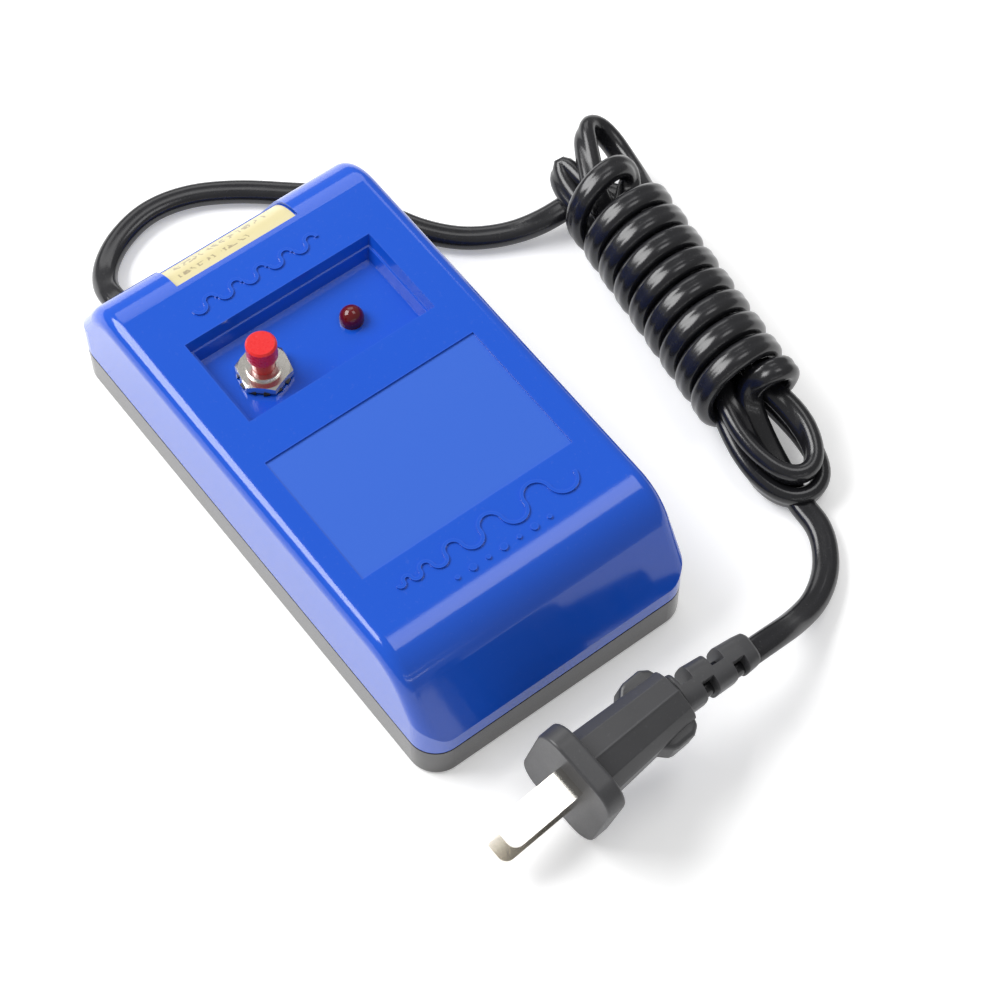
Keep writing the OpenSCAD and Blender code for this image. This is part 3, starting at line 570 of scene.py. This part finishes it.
print("group:", drift.name)

# %% Fine grain: the gloss varies, and the surface ripples a little
grain, enter, leave = start_group(
    "fine grain",
    [("Gloss", FLOAT, 0.3), ("Spread", FLOAT, 0.08), ("Scale", FLOAT, 900), ("Ripple", FLOAT, 70)],
    [("Roughness", FLOAT), ("Height", FLOAT)])
place = add(grain, "ShaderNodeTexCoord")
specks = add(grain, "ShaderNodeTexNoise", Detail=4.0, Roughness=0.6)
ripple = add(grain, "ShaderNodeTexNoise", Detail=1.0)
for noise, size in ((specks, "Scale"), (ripple, "Ripple")):
    grain.links.new(place.outputs["Object"], noise.inputs["Vector"])
    grain.links.new(enter.outputs[size], noise.inputs["Scale"])
both = maths(grain, "ADD", specks.outputs["Fac"], ripple.outputs["Fac"])
swing = maths(grain, "MULTIPLY", maths(grain, "SUBTRACT", both, 1), enter.outputs["Spread"])
grain.links.new(maths(grain, "ADD", enter.outputs["Gloss"], swing, True), leave.inputs["Roughness"])
low_specks = maths(grain, "MULTIPLY", specks.outputs["Fac"], 0.15)
grain.links.new(maths(grain, "ADD", low_specks, ripple.outputs["Fac"]), leave.inputs["Height"])
print("group:", grain.name)

# %% Edge wear and painted glint: a mask that grows where the surface bends sharply; the colour it carries is partly wear and partly a painted highlight
wear_and_glint, enter, leave = start_group(
    "edge glint and rub", [("Width", FLOAT, 0.0004), ("Amount", FLOAT, 0.5), ("Scale", FLOAT, 500)],
    [("Mask", FLOAT)])
round_off = add(wear_and_glint, "ShaderNodeBevel", {"samples": 4})
flat_face = add(wear_and_glint, "ShaderNodeNewGeometry")
place = add(wear_and_glint, "ShaderNodeTexCoord")
breakup = add(wear_and_glint, "ShaderNodeTexNoise", Detail=4.0)
same = add(wear_and_glint, "ShaderNodeVectorMath", {"operation": "DOT_PRODUCT"})
wear_and_glint.links.new(enter.outputs["Width"], round_off.inputs["Radius"])
wear_and_glint.links.new(round_off.outputs["Normal"], same.inputs[0])
wear_and_glint.links.new(flat_face.outputs["Normal"], same.inputs[1])
wear_and_glint.links.new(place.outputs["Object"], breakup.inputs["Vector"])
wear_and_glint.links.new(enter.outputs["Scale"], breakup.inputs["Scale"])
bend = maths(wear_and_glint, "MULTIPLY", maths(wear_and_glint, "SUBTRACT", 1, same.outputs["Value"]), 5)
bend = maths(wear_and_glint, "MULTIPLY", bend, breakup.outputs["Fac"], True)
wear_and_glint.links.new(maths(wear_and_glint, "MULTIPLY", bend, enter.outputs["Amount"], True), leave.inputs["Mask"])
print("group:", wear_and_glint.name)

# %% Dust: fine specks that lie on faces that look up
dust, enter, leave = start_group(
    "settled dust", [("Amount", FLOAT, 0.1), ("Scale", FLOAT, 1400)], [("Mask", FLOAT)])
place = add(dust, "ShaderNodeTexCoord")
flecks = add(dust, "ShaderNodeTexNoise", Detail=2.0)
upward = add(dust, "ShaderNodeSeparateXYZ")
flat_face = add(dust, "ShaderNodeNewGeometry")
dust.links.new(place.outputs["Object"], flecks.inputs["Vector"])
dust.links.new(enter.outputs["Scale"], flecks.inputs["Scale"])
dust.links.new(flat_face.outputs["Normal"], upward.inputs[0])
few = maths(dust, "MULTIPLY", maths(dust, "SUBTRACT", flecks.outputs["Fac"], 0.64), 12, True)
facing = maths(dust, "MULTIPLY", upward.outputs["Z"], few, True)
dust.links.new(maths(dust, "MULTIPLY", facing, enter.outputs["Amount"], True), leave.inputs["Mask"])
print("group:", dust.name)

# %% Drawn lines: the fine scratches of rolling, turning or winding, along one axis
lines, enter, leave = start_group(
    "drawn lines", [("Stretch", VECTOR, (1, 1, 1)), ("Scale", FLOAT, 2000)], [("Value", FLOAT)])
place = add(lines, "ShaderNodeTexCoord")
squeeze = add(lines, "ShaderNodeVectorMath", {"operation": "MULTIPLY"})
streak = add(lines, "ShaderNodeTexNoise", Detail=3.0)
lines.links.new(place.outputs["Object"], squeeze.inputs[0])
lines.links.new(enter.outputs["Stretch"], squeeze.inputs[1])
lines.links.new(squeeze.outputs["Vector"], streak.inputs["Vector"])
lines.links.new(enter.outputs["Scale"], streak.inputs["Scale"])
lines.links.new(streak.outputs["Fac"], leave.inputs["Value"])
print("group:", lines.name)

# %% [markdown]
# One function lays out the usual material: base colour through colour drift, a lighter
# colour on the edges that is partly wear and partly a painted highlight, dust on top, then
# gloss and height from the grain.  The Principled shader stays in the material, and its plain numbers are
# set on its own sockets.

# %% The usual material
def place_group(tree, group, **values):
    node = tree.nodes.new("ShaderNodeGroup")
    node.node_tree = group
    for key, value in values.items():
        node.inputs[key].default_value = value
    return node


def mix_colour(tree, mask, first, second):
    node = add(tree, "ShaderNodeMix", {"data_type": "RGBA"})
    tree.links.new(mask, node.inputs["Factor"])
    for socket, value in ((node.inputs["A"], first), (node.inputs["B"], second)):
        if isinstance(value, tuple):
            socket.default_value = (*value, 1)
        else:
            tree.links.new(value, socket)
    return node.outputs["Result"]


LINT = (0.75, 0.74, 0.72)


class Finish:
    """A material being built: its tree, its shader, and the last colour and height."""

    def __init__(self, name, colour, gloss, spread=0.06, drift_by=0.03, drift_scale=60, speck=900,
                 swell=70, bump=0.05, bump_far=0.0002, worn_and_glint=None, glint_and_wear_by=0.35, glint_and_wear_wide=0.0004,
                 dusty=0.04, **fixed):
        self.material = bpy.data.materials.new(name)
        self.material.use_nodes = True
        self.tree = self.material.node_tree
        self.shader = self.tree.nodes["Principled BSDF"]
        for key, value in fixed.items():
            self.shader.inputs[key.replace("_", " ")].default_value = value
        tint = place_group(self.tree, drift, Colour=(*colour, 1), Amount=drift_by, Scale=drift_scale)
        self.colour = tint.outputs["Colour"]
        if worn_and_glint:
            # Lighter colour on sharp edges: partly wear, partly a painted highlight along the edges.
            rub_and_glint = place_group(self.tree, wear_and_glint, Width=glint_and_wear_wide, Amount=glint_and_wear_by)
            self.colour = mix_colour(self.tree, rub_and_glint.outputs["Mask"], self.colour, worn_and_glint)
        if dusty:
            lint = place_group(self.tree, dust, Amount=dusty)
            self.colour = mix_colour(self.tree, lint.outputs["Mask"], self.colour, LINT)
        body = place_group(self.tree, grain, Gloss=gloss, Spread=spread, Scale=speck, Ripple=swell)
        self.rough, self.height = body.outputs["Roughness"], body.outputs["Height"]
        self.bump, self.bump_far = bump, bump_far

    def near(self, mask, colour=None, gloss=None):
        """Another colour or gloss where a mask is one."""
        if colour:
            self.colour = mix_colour(self.tree, mask, self.colour, colour)
        if gloss is not None:
            node = add(self.tree, "ShaderNodeMix", {"data_type": "FLOAT"}, B=gloss)
            self.tree.links.new(mask, node.inputs["Factor"])
            self.tree.links.new(self.rough, node.inputs["A"])
            self.rough = node.outputs["Result"]
        return self

    def ridges(self, value, strength):
        """Adds a second height, such as drawn lines or weave."""
        self.height = maths(self.tree, "ADD", self.height, maths(self.tree, "MULTIPLY", value, strength))
        return self

    def done(self):
        raised = add(self.tree, "ShaderNodeBump", Strength=self.bump, Distance=self.bump_far)
        link = self.tree.links.new
        link(self.height, raised.inputs["Height"])
        link(raised.outputs["Normal"], self.shader.inputs["Normal"])
        link(self.rough, self.shader.inputs["Roughness"])
        link(self.colour, self.shader.inputs["Base Color"])
        return self.material


def window(tree, low, high, soft=0.0002):
    """A mask that is one inside a box of the part's own coordinates, in metres."""
    place = add(tree, "ShaderNodeTexCoord")
    split = add(tree, "ShaderNodeSeparateXYZ")
    tree.links.new(place.outputs["Object"], split.inputs[0])
    mask = None
    for k in range(3):
        if low[k] is None:
            continue
        middle, half = (low[k] + high[k]) / 2, (high[k] - low[k]) / 2
        away = maths(tree, "ABSOLUTE", maths(tree, "SUBTRACT", split.outputs[k], middle), 0)
        inside = maths(tree, "DIVIDE", maths(tree, "SUBTRACT", half, away), soft, True)
        mask = inside if mask is None else maths(tree, "MULTIPLY", mask, inside)
    return mask


finishes = {}
print("helpers ready")

# %% [markdown]
# The cover is blue ABS, injection moulded and polished.  The sunk rest field for tools is
# left a little duller than the rest by the mould, so its gloss is changed by place.

# %% Blue cover and black base
cover = Finish("cover blue", (0.007, 0.082, 0.55), 0.12, spread=0.05, drift_by=0.012, drift_scale=25,
               speck=1500, swell=55, bump=0.06, bump_far=0.0006, worn_and_glint=(0.12, 0.24, 0.85), glint_and_wear_by=0.25,
               glint_and_wear_wide=0.0005, dusty=0.015, Coat_Weight=0.12, Coat_Roughness=0.05, IOR=1.5)
field = window(cover.tree, (-0.025, -0.0312, 0.029), (0.0244, 0.0004, 0.0315), 0.0001)
cover.near(field, (0.016, 0.104, 0.56), 0.34)
finishes["top_shell"] = cover.done()
base = Finish("base black", (0.018, 0.017, 0.017), 0.2, spread=0.08, drift_by=0.03, speck=1200,
              swell=45, bump=0.07, bump_far=0.0006, worn_and_glint=(0.09, 0.085, 0.08), glint_and_wear_by=0.4, dusty=0.05,
              Coat_Weight=0.25, Coat_Roughness=0.08, IOR=1.5)
finishes["bottom_shell"] = base.done()
print("shell finishes ready")

# %% Switch: soft red cap, nickel bush and nut, and a washer darkened as painted shade under the nut
cap = Finish("cap red", (0.72, 0.018, 0.02), 0.28, spread=0.08, drift_by=0.02, speck=1600, bump=0.08,
             worn_and_glint=(0.85, 0.16, 0.13), glint_and_wear_by=0.35, glint_and_wear_wide=0.0005, Subsurface_Weight=0.06,
             Subsurface_Scale=0.001)
finishes["switch_cap"] = cap.done()


# The last argument is the edge colour, lighter than the metal: partly wear, partly a painted glint.
def plated(name, colour, gloss, stretch, strength, worn_and_glint):
    metal = Finish(name, colour, gloss, spread=0.1, drift_by=0.03, drift_scale=300, speck=2500, bump=0.12,
                   bump_far=0.00005, worn_and_glint=worn_and_glint, glint_and_wear_by=0.5, glint_and_wear_wide=0.0003, dusty=0, Metallic=1.0)
    drawn = place_group(metal.tree, lines, Stretch=stretch, Scale=2600)
    return metal.ridges(drawn.outputs["Value"], strength)


nickel = plated("nickel", (0.78, 0.75, 0.7), 0.2, (1, 1, 0.05), 0.5, (0.95, 0.93, 0.9)).done()
for name in ("switch_bushing", "switch_nut"):
    finishes[name] = nickel
# The washer is coloured near black to paint the shade beneath the nut; its dark colour is painted shade,
# not a blackened finish.
finishes["switch_lock_washer"] = plated("steel darkened as painted shade", (0.05, 0.048, 0.05), 0.42, (1, 1, 0.1), 0.2,
                                        (0.12, 0.12, 0.12)).done()
finishes["plug_blades"] = plated("blade nickel", (0.86, 0.83, 0.77), 0.16, (0.06, 1, 1), 0.35,
                                 (0.97, 0.95, 0.92)).done()
finishes["switch_spring"] = plated("spring steel", (0.62, 0.61, 0.6), 0.25, (1, 1, 4), 0.2,
                                   (0.8, 0.8, 0.8)).done()
screw = plated("screw steel", (0.56, 0.55, 0.53), 0.3, (1, 1, 0.1), 0.4, (0.8, 0.78, 0.75)).done()
for name in ("case_screws", "clamp_screws", "core_screws"):
    finishes[name] = screw
finishes["core_brackets"] = plated("bracket zinc", (0.66, 0.67, 0.66), 0.35, (1, 0.1, 1), 0.3,
                                   (0.8, 0.8, 0.78)).done()
brass = plated("contact brass", (0.72, 0.5, 0.2), 0.3, (1, 1, 0.1), 0.3, (0.85, 0.66, 0.35)).done()
for name in ("switch_terminals", "switch_bridge"):
    finishes[name] = brass
finishes["led_legs"] = plated("tinned leads", (0.74, 0.73, 0.7), 0.3, (1, 1, 0.1), 0.2,
                              (0.8, 0.8, 0.8)).done()
finishes["switch_body"] = Finish("switch black", (0.02, 0.02, 0.022), 0.42, worn_and_glint=(0.1, 0.1, 0.1)).done()
print("metal and switch finishes ready")

# %% Lamp: clear red epoxy over a dark cup
lamp = Finish("lamp red", (0.11, 0.003, 0.006), 0.04, spread=0.02, drift_by=0.02, speck=800,
              bump=0.02, dusty=0, IOR=1.5)
finishes["led_lens"] = lamp.done()
resistor = Finish("resistor tan", (0.62, 0.47, 0.3), 0.4)
stripe = window(resistor.tree, (0.0, None, None), (0.001, None, None))
finishes["led_resistor"] = resistor.near(stripe, (0.3, 0.05, 0.02)).done()
finishes["led_diode"] = Finish("diode black", (0.03, 0.03, 0.03), 0.3, worn_and_glint=(0.2, 0.2, 0.2)).done()
print("lamp finishes ready")

# %% [markdown]
# The printed strip is pale yellow paper.  Its print is replaced by four rows of broken
# bars: a distorted wave repeats along the strip, and a window cuts out each row.

# %% Printed strip over the rear edge
label = Finish("label paper", (0.62, 0.55, 0.30), 0.34, spread=0.1, drift_by=0.03, drift_scale=90,
               speck=3000, bump=0.1, bump_far=0.0001, dusty=0.05, Coat_Weight=0.15,
               Coat_Roughness=0.2)
place = add(label.tree, "ShaderNodeTexCoord")
bars = add(label.tree, "ShaderNodeTexWave", {"wave_type": "BANDS", "bands_direction": "X"}, Scale=170.0,
           Distortion=9.0, Detail=2.0, Detail_Scale=3.0)
label.tree.links.new(place.outputs["Object"], bars.inputs["Vector"])
ink = maths(label.tree, "MULTIPLY", maths(label.tree, "SUBTRACT", bars.outputs["Fac"], 0.55), 3, True)
print_rows = ((-0.0135, 0.0035, 0.0462, 0.0474), (-0.0135, 0.0105, 0.0490, 0.0506),
              (-0.0115, 0.0085, 0.0524, 0.0532), (-0.0135, 0.0105, 0.0548, 0.0554))
rows = []
for left, right, near, far in print_rows:
    strip = window(label.tree, (left, near, None), (right, far, None), 0.0001)
    rows.append(maths(label.tree, "MULTIPLY", ink, strip))
print_mask = rows[0]
for row in rows[1:]:
    print_mask = maths(label.tree, "ADD", print_mask, row, True)
faded = maths(label.tree, "MULTIPLY", print_mask, 0.75)
finishes["rear_label"] = label.near(faded, (0.25, 0.2, 0.13)).done()
print("label finish ready")

# %% [markdown]
# The cord sheath is soft glossy PVC.  Bending and handling leave it slightly uneven, so
# its highlights break up; a plug is moulded from the same plastic but comes out duller.

# %% Cord, plug, gland and the parts inside
cord = Finish("cord black", (0.012, 0.012, 0.014), 0.22, spread=0.12, drift_by=0.05, speck=500,
              swell=110, bump=0.22, bump_far=0.0006, dusty=0.02, IOR=1.52)
cord_finish = cord.done()
plug = Finish("plug charcoal", (0.050, 0.050, 0.053), 0.40, spread=0.12, drift_by=0.06,
              drift_scale=120, speck=1800, swell=90, bump=0.25, bump_far=0.0003, worn_and_glint=(0.1, 0.1, 0.1),
              glint_and_wear_by=0.3, dusty=0.02)
plug_finish = plug.done()
finishes["cord_grommet"] = Finish("gland rubber", (0.02, 0.02, 0.02), 0.5, worn_and_glint=(0.07, 0.07, 0.07)).done()
finishes["cord_clamp"] = Finish("clamp nylon", (0.75, 0.74, 0.68), 0.45, worn_and_glint=(0.85, 0.84, 0.8),
                                Subsurface_Weight=0.1, Subsurface_Scale=0.001).done()
finishes["coil_bobbin"] = Finish("bobbin nylon", (0.78, 0.77, 0.72), 0.42, worn_and_glint=(0.9, 0.9, 0.86)).done()
tape = Finish("coil tape", (0.82, 0.62, 0.08), 0.3, spread=0.08)
folds_in_tape = place_group(tape.tree, lines, Stretch=(0.05, 1, 1), Scale=900)
finishes["coil_tape"] = tape.ridges(folds_in_tape.outputs["Value"], 1.0).done()
winding = Finish("enamelled copper", (0.55, 0.17, 0.05), 0.25, worn_and_glint=(0.7, 0.3, 0.12), Metallic=0.85)
turns = place_group(winding.tree, lines, Stretch=(0.04, 0.04, 1), Scale=4000)
finishes["coil_winding"] = winding.ridges(turns.outputs["Value"], 2.0).done()
core = Finish("core iron", (0.2, 0.19, 0.18), 0.45, spread=0.15, worn_and_glint=(0.4, 0.38, 0.35), Metallic=0.8)
sheets = place_group(core.tree, lines, Stretch=(0.02, 0.02, 1), Scale=3000)
finishes["core_stack"] = core.ridges(sheets.outputs["Value"], 2.5).done()
wire_colours = {"wire_live": (0.2, 0.07, 0.03), "wire_neutral": (0.03, 0.13, 0.5),
                "wire_coil": (0.6, 0.03, 0.03), "wire_lamp": (0.35, 0.35, 0.36),
                "wire_sleeves": (0.02, 0.02, 0.02)}
for name, colour in wire_colours.items():
    # Each wire's edge colour is lighter: partly wear, partly a painted highlight.
    rubbed_and_glint = tuple(min(1, c + 0.1) for c in colour)
    finishes[name] = Finish(name.replace("_", " "), colour, 0.35, worn_and_glint=rubbed_and_glint).done()
print("finishes:", len(finishes))

# %% Finishes onto the pieces
def dress(obj, finish):
    obj.data.materials.clear()
    obj.data.materials.append(finish)


dress(mains_cord, cord_finish)
dress(plug_moulding, plug_finish)
dress(plug_sleeve, plug_finish)
dress(return_spring, finishes["switch_spring"])
for name in ("cord_lead", "cord_hank", "cord_tail"):
    finishes[name] = cord_finish
for name in ("plug_body", "plug_relief"):
    finishes[name] = plug_finish
for name, obj in nodes.items():
    dress(obj, finishes[name])
print("dressed:", len(nodes) + 4)

# %% [markdown]
# The floor is one wide pale sheet.  A broad soft box high behind on the left is the key,
# a small one on the right and one behind lift the dark sides, and two thin strips in front
# draw the bright lines on the nose.  A pale sky fills the shadows.  Gloss needs something
# to mirror, so the boxes are placed for their reflections too.

# %% Floor
FLOOR_GAP, SKY = 0.0002, 0.36
bpy.ops.mesh.primitive_grid_add(x_subdivisions=24, y_subdivisions=24, size=6)
floor = bpy.context.object
floor.name = "floor"
floor.location.z = min(cad_box[0][2], low) - FLOOR_GAP
bench = Finish("floor white", (0.93, 0.93, 0.93), 0.6, spread=0.05, drift_by=0.004, drift_scale=6,
               speck=200, swell=12, bump=0.02, dusty=0, Emission_Color=(1, 1, 1, 1), Emission_Strength=0.3)
dress(floor, bench.done())
print("floor at, mm:", round(floor.location.z / MM, 2))

# %% Lights
scene = bpy.context.scene
scene.view_settings.view_transform = "Standard"
target = Vector((0.02, 0.0, 0.015))


def soft_box(name, place, wide, tall, power):
    data = bpy.data.lights.new(name, "AREA")
    data.shape, data.size, data.size_y, data.energy = "RECTANGLE", wide, tall, power
    box = bpy.data.objects.new(name, data)
    box.location = place
    box.rotation_euler = (target - Vector(place)).to_track_quat("-Z", "Y").to_euler()
    scene.collection.objects.link(box)


soft_box("key box", (-0.50, 0.72, 0.95), 0.9, 0.7, 17)
soft_box("over box", (0.36, -0.03, 0.95), 0.45, 0.4, 1.6)
soft_box("rear box", (0.40, 0.82, 0.70), 0.7, 0.5, 1.9)
soft_box("front strip low", (-0.15, -0.95, 0.33), 0.8, 0.025, 0.32)
soft_box("front strip high", (-0.15, -0.92, 0.50), 0.8, 0.025, 0.22)
world = bpy.data.worlds.new("pale room")
world.use_nodes = True
sky = world.node_tree.nodes["Background"]
sky.inputs["Color"].default_value, sky.inputs["Strength"].default_value = (1, 1, 1, 1), SKY
scene.world = world
